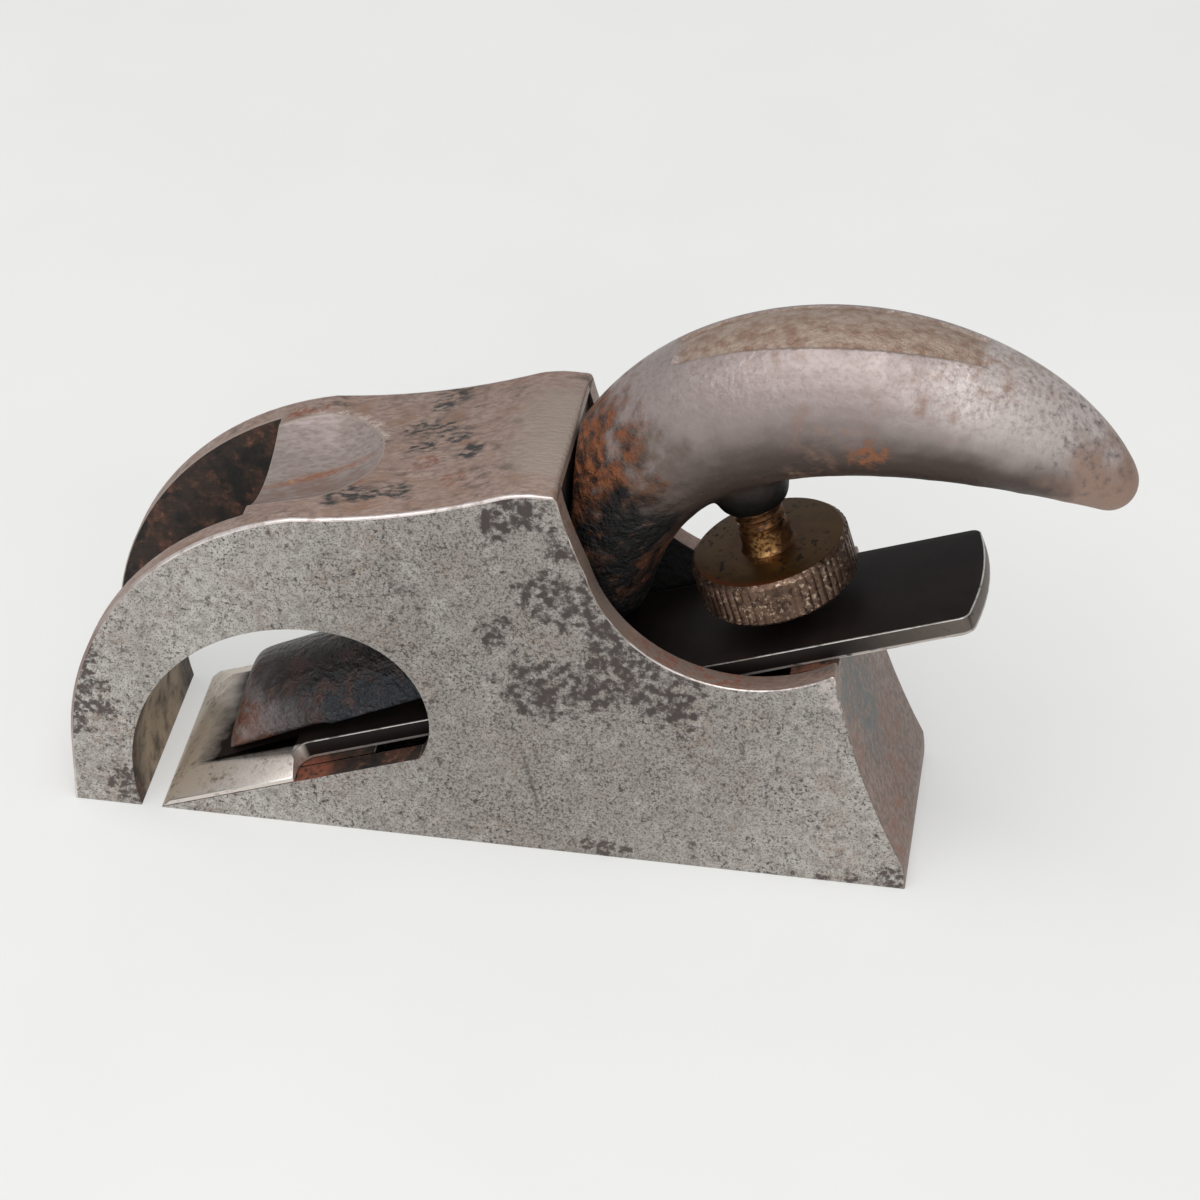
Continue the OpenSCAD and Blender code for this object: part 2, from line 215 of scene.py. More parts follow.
def ground_iron():
    """Ground grey iron: pale and satin, peppered with fine pits, darker and stained brown in its middle."""
    material, tree, shader = new_material("ground_grey_iron")
    side = NEAR_SIDE_MM
    stain_spots_mm = [((x, side, z), reach) for x, z, reach in (
        (3.6, 49.3, 4.5), (1.5, 47.5, 3.6), (8.4, 45, 3.6), (8.4, 37.2, 6.3), (12.4, 37.8, 5.4),
        (14, 34.8, 6.0), (15.6, 32, 6.6), (17.6, 29.2, 6.6), (1, 32, 3.6), (6, 24, 6.6), (9, 25, 6.9),
        (12.4, 25.5, 6.9), (19.5, 25.8, 6.3), (22.6, 24.4, 6.3))]
    dirt_spots_mm = [((x, side, z), reach) for x, z, reach in (
        (-48.7, 21.6, 3.22), (-49, 18.6, 3.8), (-49.1, 15.4, 3.8), (-50, 11.6, 2.76), (-46.4, 17.7, 1.73),
        (-46.6, 14.4, 1.84), (-45.6, 13.7, 1.5), (-44, 3.4, 3.68), (-43, 1.4, 2.99), (49.4, 1.2, 2.76),
        (44.5, 0.5, 1.61), (41, 0.4, 1.73), (14.5, 1.2, 1.96), (12.4, 1.7, 1.61), (17.2, 1.2, 1.38))]
    cloud = blotches(tree, 9.0, 0.32, 0.70)
    # Darker towards the middle of the side, with denser dark specks there.
    darker_middle = overlap(tree, [around(tree, (8, side, 26), 43, ragged=0.3, grain_mm=9),
                          blotches(tree, 3.0, 0.10, 0.62, detail=6.0, shift=0.7)])
    mottle = blotches(tree, 1.1, 0.38, 0.74, detail=6.0)
    specks = blotches(tree, 0.24, 0.50, 0.70, detail=1.0, shift=0.2)
    middle_specks = overlap(tree, [darker_middle, blotches(tree, 0.34, 0.51, 0.66, detail=2.0, shift=0.8)])
    pits = overlap(tree, [blotches(tree, 0.5, 0.52, 0.66, detail=2.0, shift=0.3),
                          blotches(tree, 3.5, 0.34, 0.66, shift=0.6)])
    stains = blotches(tree, 1.1, 0.56, 0.74, detail=9.0, shift=0.5,
                      crowd=around_any(tree, stain_spots_mm, grain_mm=2.5), pull=0.17)
    dirt = blotches(tree, 0.8, 0.57, 0.73, detail=6.0, shift=0.8,
                    crowd=around_any(tree, dirt_spots_mm, grain_mm=1.6), pull=0.18)
    scratches = overlap(tree, [
        either(tree, [stroke(tree, (5.5, side, 10.4), (7.8, 50, 0.38), (0, 76, 0)),
                      stroke(tree, (-2.3, side, 38.9), (1.1, 50, 0.26), (0, -48, 0))]),
        blotches(tree, 0.5, 0.38, 0.58, detail=4.0, shift=0.4)])
    rusty = overlap(tree, [blotches(tree, 7.0, 0.46, 0.74, shift=0.9),
                           blotches(tree, 0.9, 0.36, 0.70, shift=0.1)])
    rubbed = overlap(tree, [
        around_any(tree, [((40.3, side, 29.2), 1.9), ((41.4, side, 26.4), 1.5)], grain_mm=1.2),
        blotches(tree, 0.7, 0.36, 0.56, detail=4.0, shift=0.6)])
    layers = [(cloud, "#B9B4AD"), (darker_middle, "#A19B96"), (mottle, "#9C9690"), (rusty, "#9F8F82"),
              (specks, "#7B7570"), (middle_specks, "#645E58"), (stains, "#4A413F"), (pits, "#4B4642"),
              (dirt, "#524845"), (scratches, "#5E5751"), (rubbed, "#C3B8B4")]
    tree.links.new(coats(tree, linear("#CCC8C2"), layers), shader.inputs["Base Color"])
    bare = blend_numbers(tree, 0.72, [(stains, 0.5), (pits, 0.3), (dirt, 0.2)])
    tree.links.new(bare, shader.inputs["Metallic"])
    rough = blend_numbers(tree, 0.44, [(mottle, 0.5), (stains, 0.42), (pits, 0.7)])
    tree.links.new(rough, shader.inputs["Roughness"])
    bump = add(tree, "ShaderNodeBump", {"Height": pits, "Strength": 0.3, "Distance": -0.05 * MM})
    tree.links.new(bump, shader.inputs["Normal"])
    return material


def cast_skin():
    """As-cast skin: brown-grey and streaked along the plane, with rust, old black paint and a bluish heel."""
    material, tree, shader = new_material("cast_iron_skin")
    paint_spots_mm = [((-8.3, 10.7, 47.2), 3.6), ((-10.9, 4.4, 46.5), 2.8), ((-8.5, 4.3, 47.1), 3),
                      ((-5.5, 2, 48), 2.4), ((-9.6, 0.7, 46.8), 2.2), ((-3.9, -1.5, 48.5), 2.4),
                      ((-18.6, -8.9, 45), 2.4), ((-16.4, -8.4, 45.4), 2.8), ((-13.8, -8, 45.9), 2.8),
                      ((-11.2, -8.5, 46.5), 2.4)]
    rust_spots_mm = [((-27, 10.6, 43.3), 1.8), ((-24.5, 10.6, 44), 2.0), ((-17.1, -6, 45.3), 1.8),
                     ((-4.8, -7.3, 48.2), 2.2), ((-9, -3, 47), 2.0), ((20, -12, 29), 5),
                     ((28, -12, 27.2), 6)]
    rim_spots_mm = [((-24, 8.9, 44.2), 1.7), ((-21.4, 8.7, 44.7), 1.8), ((-19, 7.8, 45), 1.8),
                    ((-17, 6.1, 45.3), 1.8), ((-15.6, 3.8, 45.6), 1.5)]
    worn = blotches(tree, 2.5, 0.36, 0.70, stretch=(0.4, 1, 1), detail=5.0)
    grain = blotches(tree, 0.5, 0.34, 0.70, stretch=(0.45, 1, 1), detail=3.0)
    grime = overlap(tree, [blotches(tree, 1.2, 0.46, 0.68, stretch=(0.5, 1, 1), shift=0.4),
                           blotches(tree, 6.0, 0.42, 0.66, shift=0.2)])
    rust = overlap(tree, [around_any(tree, rust_spots_mm, ragged=0.6),
                          blotches(tree, 1.0, 0.40, 0.66, shift=0.8)])
    faint_rust = overlap(tree, [blotches(tree, 2.4, 0.46, 0.72, stretch=(0.5, 1, 1), shift=0.1),
                                blotches(tree, 9.0, 0.40, 0.62, shift=0.6)])
    paint = overlap(tree, [around_any(tree, paint_spots_mm, ragged=0.6, grain_mm=1.5),
                           blotches(tree, 0.75, 0.40, 0.60, stretch=(0.45, 1, 1), detail=5.0, shift=0.2)])
    rim = overlap(tree, [around_any(tree, rim_spots_mm, ragged=0.6, grain_mm=1.0),
                         blotches(tree, 0.45, 0.36, 0.62, detail=4.0, shift=0.7)])
    where = add(tree, "ShaderNodeTexCoord", {}, out="Object")
    along = add(tree, "ShaderNodeSeparateXYZ", {"Vector": where}, out="X")
    rear = add(tree, "ShaderNodeMapRange", {"Value": along, "From Min": -2 * MM, "From Max": 7 * MM},
               interpolation_type="SMOOTHSTEP")
    rear = overlap(tree, [rear, around(tree, (6, 0, 51), 14, ragged=0.3)])
    scoop = around_any(tree, [((14, -12, 38), 10), ((25, -12, 28), 13)], ragged=0.3)
    heel = around(tree, (50, -2, 8), 24, ragged=0.3)
    heel_grain = overlap(tree, [around(tree, (46, 0, 14), 26, ragged=0.2),
                                blotches(tree, 0.8, 0.40, 0.62, detail=5.0, shift=0.3)])
    heel_rust = overlap(tree, [
        around_any(tree, [((47, 3, 10), 8), ((48.5, -8, 5), 8), ((42.6, -11.5, 20), 5)]),
        blotches(tree, 1.6, 0.44, 0.66, detail=5.0, shift=0.9)])
    blue = overlap(tree, [around_any(tree, [((41.6, -7, 25), 8), ((43, -3, 18), 8)]),
                          blotches(tree, 1.1, 0.40, 0.58, detail=5.0, shift=0.5)])
    layers = [(worn, "#AE988D"), (grain, "#8B766D"), (grime, "#66574F"), (faint_rust, "#8F715F"),
              (rear, "#9F9085"), (rim, "#C2B4AB"), (scoop, "#87756A"), (rust, "#87594A"),
              (paint, "#3B3936"), (heel, "#937F75"), (heel_grain, "#756259"), (heel_rust, "#8E6654"),
              (blue, "#676D6C")]
    tree.links.new(coats(tree, linear("#A3897B"), layers), shader.inputs["Base Color"])
    shader.inputs["Metallic"].default_value = 0.4
    rough = blend_numbers(tree, 0.52, [(worn, 0.46), (rust, 0.8), (paint, 0.45)])
    tree.links.new(rough, shader.inputs["Roughness"])
    bump = add(tree, "ShaderNodeBump", {"Height": grain, "Strength": 0.45, "Distance": -0.12 * MM})
    tree.links.new(bump, shader.inputs["Normal"])
    return material


def thumb_polish():
    """The hollow where a thumb rests: smooth mauve-grey, browner on its near side, with a streak of rust and
    painted glints along it.
    """
    material, tree, shader = new_material("thumb_polished_iron")
    cloud = blotches(tree, 4.0, 0.36, 0.70, stretch=(0.5, 1, 1))
    fine = blotches(tree, 0.5, 0.36, 0.72, stretch=(0.3, 1, 1), detail=4.0)
    near = overlap(tree, [around(tree, (-23, -8, 43), 12, ragged=0.3),
                          blotches(tree, 1.0, 0.2, 0.6, stretch=(0.3, 1, 1))])
    streak = overlap(tree, [stroke(tree, (-22.5, 0.2, 42), (8.5, 0.95, 50), (0, 0, 12)),
                            blotches(tree, 0.45, 0.30, 0.58, stretch=(0.4, 1, 1), detail=4.0, shift=0.4)])
    # Painted highlights: pale orange glints are painted along the rust streak.
    glint = overlap(tree, [streak, blotches(tree, 0.6, 0.52, 0.66, stretch=(0.4, 1, 1), shift=0.1)])
    layers = [(cloud, "#A3958F"), (fine, "#8F8079"), (near, "#8A7367"), (streak, "#936651"),
              (glint, "#BE8E69")]
    tree.links.new(coats(tree, linear("#AEA09C"), layers), shader.inputs["Base Color"])
    shader.inputs["Metallic"].default_value = 0.5
    tree.links.new(blend_numbers(tree, 0.42, [(near, 0.5), (streak, 0.75)]), shader.inputs["Roughness"])
    return material


def rusty_hollow():
    """The unmachined hollow: near-black brown with grime, red-brown patches of rust, dry behind the toe, and
    painted shade deep inside the far cheek.
    """
    material, tree, shader = new_material("rusted_casting")
    rust = blotches(tree, 2.4, 0.44, 0.66)
    bright = overlap(tree, [blotches(tree, 0.8, 0.50, 0.68, shift=0.3), rust])
    grime = blotches(tree, 3.0, 0.46, 0.62, shift=0.6)
    toe = overlap(tree, [around(tree, (-43, 0, 6), 15, ragged=0.3), blotches(tree, 2.5, 0.20, 0.60)])
    bed = overlap(tree, [around(tree, (-22, -12, 7), 5), blotches(tree, 1.0, 0.30, 0.55, shift=0.1)])
    # Painted shade: the inside of the far cheek, under the lever, is painted near black.
    deep_shade = around(tree, (18, 10.5, 29), 16, ragged=0.3)
    ledge = overlap(tree, [around(tree, (38, -10.4, 28), 5), blotches(tree, 1.2, 0.30, 0.55, shift=0.4)])
    layers = [(rust, "#54372B"), (bright, "#7A5240"), (grime, "#1D1917"), (toe, "#B09E87"),
              (bed, "#844C37"), (deep_shade, "#120E0C"), (ledge, "#6C4533")]
    tree.links.new(coats(tree, linear("#32261F"), layers), shader.inputs["Base Color"])
    shader.inputs["Metallic"].default_value = 0.1
    shader.inputs["Roughness"].default_value = 0.62
    lumps = blotches(tree, 0.8, 0.25, 0.75)
    bump = add(tree, "ShaderNodeBump", {"Height": lumps, "Strength": 0.6, "Distance": 0.15 * MM})
    tree.links.new(bump, shader.inputs["Normal"])
    return material


def worn_arris():
    """Bare iron where a corner has been rubbed: a bright, slightly pink line, duller at nose and heel."""
    material, tree, shader = new_material("rubbed_iron_arris")
    side = NEAR_SIDE_MM
    dull = blotches(tree, 1.5, 0.46, 0.66)
    ends = either(tree, [around(tree, (-52, 0, 22), 28, ragged=0.25),
                         around(tree, (50, side, 6), 28, ragged=0.3)])
    where = add(tree, "ShaderNodeTexCoord", {}, out="Object")
    across = add(tree, "ShaderNodeSeparateXYZ", {"Vector": where}, out="Y")
    across = add(tree, "ShaderNodeMath", {0: across}, operation="ABSOLUTE")
    inside = add(tree, "ShaderNodeMapRange",
                 {"Value": across, "From Min": 12.6 * MM, "From Max": 12.0 * MM})
    scoop = overlap(tree, [around(tree, (12, side, 41), 15, ragged=0.3),
                           blotches(tree, 2.4, 0.20, 0.55, shift=0.3)])
    heel = overlap(tree, [around(tree, (46, side, 16), 24, ragged=0.3),
                          blotches(tree, 0.8, 0.40, 0.58, shift=0.8)])
    layers = [(dull, "#BFB2AC"), (ends, "#94827A"), (scoop, "#988981"), (inside, "#A5968D"),
              (heel, "#7F746E")]
    tree.links.new(coats(tree, linear("#E8DEDA"), layers), shader.inputs["Base Color"])
    tree.links.new(blend_numbers(tree, 0.8, [(inside, 0.5)]), shader.inputs["Metallic"])
    tree.links.new(blend_numbers(tree, 0.36, [(ends, 0.5), (inside, 0.48)]), shader.inputs["Roughness"])
    return material


CLOSE = 0.1 * MM
CHEEK = 3.0 * MM
THUMB_MIDDLE_MM = Vector((-25.6, 0, 57.0))
THUMB_RADIUS_MM = 15.75
THUMB_FALL = math.radians(15)
THUMB_FORWARD = Vector((-math.cos(THUMB_FALL), 0, -math.sin(THUMB_FALL)))
THUMB_LENGTH_MM = 9
WINDOW_FRONT, WINDOW_REAR, WINDOW_TOP = -43.6 * MM, 2 * MM, 29.5 * MM
TOE_HEIGHT = 13 * MM
BRIDGE_LEVEL = 38 * MM
RIM_REAR = 10 * MM
CREST_FRONT, CREST_REAR = 7 * MM, 7.9 * MM
CREST_LOW, CREST_HIGH = 50.3 * MM, 51 * MM
CREST_CORNER_MM = Vector((3.39, 51.2))
CREST_ROUNDING_MM = 2.2
LOW_SCOOP = 16 * MM
HEEL_FRONT, HEEL_LEVEL = 38 * MM, 29.6 * MM
WIDEST_ARRIS_MM = 0.72
HEEL_ARRIS_MM = 0.5
SIDE_ARRIS_MM = 0.36
LOW_SCOOP_ARRIS_MM = 0.18
INNER_ARRIS_MM = 0.16
SCOOP_ARRIS_MM = 0.13
FINE_ARRIS_MM = 0.11
SHARP_OVER = math.radians(32)
SMOOTH_UNDER = math.radians(28)
FLAT = 0.99
GROUND, SKIN, HOLLOW, THUMB, ARRIS = range(5)


def in_window(place):
    """Whether a place on the body belongs to the window through its side."""
    return WINDOW_FRONT < place.x < WINDOW_REAR and place.z < WINDOW_TOP


def on_heel_corner(place):
    """Whether a place lies on the corner across a cheek at the top of the heel, clear of its sides."""
    across = HALF_WIDTH - abs(place.y)
    return place.x > HEEL_FRONT and place.z > HEEL_LEVEL and 4 * CLOSE < across < CHEEK - CLOSE


def arris_width(place):
    """How far a corner of the body has been rubbed round, in millimetres."""
    if place.z < CLOSE or in_window(place):
        return FINE_ARRIS_MM
    if place.x > CREST_REAR and place.z > CREST_HIGH:
        return WIDEST_ARRIS_MM
    if on_heel_corner(place):
        return HEEL_ARRIS_MM
    if abs(place.y) < HALF_WIDTH - MM:
        return INNER_ARRIS_MM
    if place.x > LOW_SCOOP:
        return LOW_SCOOP_ARRIS_MM
    return SCOOP_ARRIS_MM if place.x > CREST_REAR else SIDE_ARRIS_MM


def outside_thumb(place):
    """How far a place is outside the ball that hollows the bridge, drawn out forward, in millimetres."""
    away = place / MM - THUMB_MIDDLE_MM
    along = min(max(away.dot(THUMB_FORWARD), 0), THUMB_LENGTH_MM)
    return (away - along * THUMB_FORWARD).length - THUMB_RADIUS_MM


bpy.ops.object.select_all(action="DESELECT")
bpy.ops.mesh.primitive_uv_sphere_add(segments=128, ring_count=96, radius=THUMB_RADIUS_MM * MM,
                                     rotation=THUMB_FORWARD.to_track_quat("Z", "Y").to_euler())
thumb = bpy.context.object
bpy.ops.object.transform_apply(rotation=True)
select_none(thumb, "VERT")
for corner in thumb.data.vertices:
    corner.select = corner.co.dot(THUMB_FORWARD) > CLOSE
bpy.ops.object.mode_set(mode="EDIT")
bpy.ops.transform.translate(value=THUMB_FORWARD * THUMB_LENGTH_MM * MM)
bpy.ops.object.mode_set(mode="OBJECT")
thumb.location = THUMB_MIDDLE_MM * MM
body = copy_solid("body", "plane_body")
apply_modifier(body, "BOOLEAN", operation="DIFFERENCE", object=thumb, solver="EXACT")
bpy.data.objects.remove(thumb)
make_whole(body)

select_none(body, "EDGE")
for edge in body.data.edges:
    ends = [body.data.vertices[v].co / MM for v in edge.vertices]
    edge.select = all((end.xz - CREST_CORNER_MM).length * MM < CLOSE for end in ends)
bpy.ops.object.mode_set(mode="EDIT")
bpy.ops.mesh.bevel(offset=CREST_ROUNDING_MM * MM, segments=6, affect="EDGES", clamp_overlap=False)
bpy.ops.object.mode_set(mode="OBJECT")

for finish in (ground_iron(), cast_skin(), rusty_hollow(), thumb_polish(), worn_arris()):
    body.data.materials.append(finish)
for face in body.data.polygons:
    corners = [body.data.vertices[v].co for v in face.vertices]
    across = [abs(corner.y) for corner in corners]
    flat_side = abs(face.normal.y) > FLAT and min(across) > HALF_WIDTH - CLOSE
    sole = face.normal.z < -FLAT and face.center.z < CLOSE
    between_cheeks = max(across) < HALF_WIDTH - CHEEK + CLOSE
    on_top = face.normal.z > 0.3 and face.center.z > BRIDGE_LEVEL
    if flat_side or sole:
        face.material_index = GROUND
    elif max(abs(outside_thumb(corner)) for corner in corners) * MM < CLOSE:
        face.material_index = THUMB
    elif in_window(face.center) or between_cheeks and not on_top:
        face.material_index = HOLLOW
    else:
        face.material_index = SKIN

select_none(body, "EDGE")
bpy.ops.object.mode_set(mode="EDIT")
bpy.ops.mesh.edges_select_sharp(sharpness=SHARP_OVER)
bpy.ops.object.mode_set(mode="OBJECT")
bevel_weight = body.data.attributes.new("bevel_weight_edge", "FLOAT", "EDGE")
thumb_edges = [key for face in body.data.polygons if face.material_index == THUMB for key in face.edge_keys]
for edge in body.data.edges:
    if edge.select or thumb_edges.count(edge.key) == 1:
        first, last = (body.data.vertices[v].co for v in edge.vertices)
        bevel_weight.data[edge.index].value = arris_width((first + last) / 2) / WIDEST_ARRIS_MM
apply_modifier(body, "BEVEL", width=WIDEST_ARRIS_MM * MM, segments=3, limit_method="WEIGHT",
               use_clamp_overlap=False, loop_slide=False, miter_outer="MITER_ARC", material=ARRIS)
for face in body.data.polygons:
    place, normal = face.center, face.normal
    if face.material_index == ARRIS and (place.z < 2 * CLOSE or in_window(place)):
        face.material_index = GROUND
    elif face.material_index == ARRIS and abs(place.y) < HALF_WIDTH - 1.2 * SIDE_ARRIS_MM * MM:
        on_rim = place.x < RIM_REAR and normal.z - normal.x > 0.3 and place.z > TOE_HEIGHT
        at_crest = place.x > CREST_FRONT and place.z > CREST_LOW
        on_skin = at_crest or on_heel_corner(place)
        face.material_index = SKIN if on_skin else ARRIS if on_rim else HOLLOW
work_on(body)
bpy.ops.object.shade_smooth_by_angle(angle=SMOOTH_UNDER)
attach(body, "body")
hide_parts("body")


# The cutter is a T of tool steel, ground to an edge at the front, where it is as wide as the body.
# It lies bevel up on the bed; its tail is black with age, its ears and corners are rubbed bright, and a
# painted highlight runs along the lower edge of its sides.

JOINTS = {joint["name"]: joint for joint in frame["record"]["behaviour"]["joints"]}
SLIDE = Vector(JOINTS["cutter_set"]["axis"])
UNDER = Vector((SLIDE.z, 0, -SLIDE.x))
RUBBED = 0.14 * MM
RUBBED_OVER = math.radians(35)
EDGE = 1


def tool_steel(under_level):
    """Old tool steel: a brown-black satin tail, its sides grey towards the end and dark nearer the body as
    painted shade, a painted highlight along their lower edge, and light grey at the edge.
    """
    material, tree, shader = new_material("tarnished_tool_steel")
    where = add(tree, "ShaderNodeTexCoord", {}, out="Object")
    along = add(tree, "ShaderNodeSeparateXYZ", {"Vector": where}, out="X")
    ragged = add(tree, "ShaderNodeTexNoise", {"Vector": where, "Scale": 1 / (3.0 * MM), "Detail": 4.0})
    along = add(tree, "ShaderNodeMath", {0: ragged, 1: 5 * MM, 2: along}, operation="MULTIPLY_ADD")
    middle = add(tree, "ShaderNodeMapRange", {"Value": along, "From Min": -31 * MM, "From Max": -35 * MM})
    across = add(tree, "ShaderNodeSeparateXYZ", {"Vector": where}, out="Y")
    across = add(tree, "ShaderNodeMath", {0: across}, operation="ABSOLUTE")
    beside = add(tree, "ShaderNodeMapRange", {"Value": across, "From Min": 9.2 * MM, "From Max": 9.6 * MM})
    head = either(tree, [middle, beside])
    facing = add(tree, "ShaderNodeTexCoord", {}, out="Normal")
    sideways = add(tree, "ShaderNodeSeparateXYZ", {"Vector": facing}, out="Y")
    sideways = add(tree, "ShaderNodeMath", {0: sideways}, operation="ABSOLUTE")
    endways = add(tree, "ShaderNodeSeparateXYZ", {"Vector": facing}, out="X")
    sides = add(tree, "ShaderNodeMapRange",
                {"Value": either(tree, [sideways, endways]), "From Min": 0.6, "From Max": 0.8})
    bevel = add(tree, "ShaderNodeMapRange", {"Value": endways, "From Min": -0.42, "From Max": -0.52})
    cloud = blotches(tree, 5.0, 0.40, 0.65)
    lines = blotches(tree, 0.9, 0.40, 0.66, stretch=(6, 0.6, 6))
    brown = overlap(tree, [blotches(tree, 0.8, 0.48, 0.66), blotches(tree, 3.0, 0.44, 0.64)])
    tail_end = add(tree, "ShaderNodeMapRange", {"Value": along, "From Min": 43 * MM, "From Max": 57 * MM})
    # The sides are grey, their ground steel, only towards the tail's end; nearer the body they are left dark
    # as painted shade.
    pale_end_sides = overlap(tree, [sides, tail_end])
    brown_sides = overlap(tree, [pale_end_sides, brown])
    # Painted highlight: a pale line along the lower edge of the sides stands in for the floor reflected
    # there.
    depth = add(tree, "ShaderNodeVectorMath", {0: where, 1: UNDER}, out="Value", operation="DOT_PRODUCT")
    low_edge_highlight = add(tree, "ShaderNodeMapRange", {"Value": depth, "From Min": under_level - 0.46 * MM,
                                                "From Max": under_level - 0.34 * MM})
    low_edge_highlight = overlap(tree, [sides, low_edge_highlight,
                              blotches(tree, 1.4, 0.30, 0.46, stretch=(0.4, 1, 1), shift=0.6)])
    tail = coats(tree, linear("#1B1412"), [(cloud, "#221A17"), (sides, "#1C1614"), (pale_end_sides, "#625952"),
                                           (brown_sides, "#40372F"), (low_edge_highlight, "#B8AFA8")])
    ground = coats(tree, linear("#E0D6CD"), [(lines, "#CFC4BB"), (bevel, "#DDD0BF"), (brown, "#A09084")])
    colour = add(tree, "ShaderNodeMix", {0: head, 6: tail, 7: ground}, out=2, data_type="RGBA")
    tree.links.new(colour, shader.inputs["Base Color"])
    tree.links.new(blend_numbers(tree, 0.3, [(low_edge_highlight, 0.5), (head, 0.6)]), shader.inputs["Metallic"])
    tree.links.new(blend_numbers(tree, 0.48, [(head, 0.36), (brown, 0.45)]), shader.inputs["Roughness"])
    tree.links.new(blend_numbers(tree, 0.3, [(head, 0.5)]), shader.inputs["Specular IOR Level"])
    return material


def bright_edge():
    """Steel corners rubbed to a bright line."""
    material, tree, shader = new_material("rubbed_steel_edge")
    dull = blotches(tree, 2.0, 0.50, 0.68, stretch=(0.4, 1, 1))
    tree.links.new(coats(tree, linear("#DCD8D2"), [(dull, "#8F8781")]), shader.inputs["Base Color"])
    shader.inputs["Metallic"].default_value = 0.9
    shader.inputs["Roughness"].default_value = 0.28
    return material


cutter = copy_solid("cutter", "cutter_blade")
cutter.data.materials.append(tool_steel(max(UNDER.dot(corner.co) for corner in cutter.data.vertices)))
cutter.data.materials.append(bright_edge())
apply_modifier(cutter, "BEVEL", width=RUBBED, segments=2, limit_method="ANGLE", angle_limit=RUBBED_OVER,
               use_clamp_overlap=False, loop_slide=False, material=EDGE)
work_on(cutter)
bpy.ops.object.shade_smooth_by_angle(angle=SMOOTH_UNDER)
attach(cutter, "cutter")
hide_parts("cutter")


# The lever cap is one iron casting: a tongue that presses on the cutter, a knuckle that hooks under
# the fulcrum rib, and a horn for the palm. Hands have worn it smooth; black japan is left in its lee.

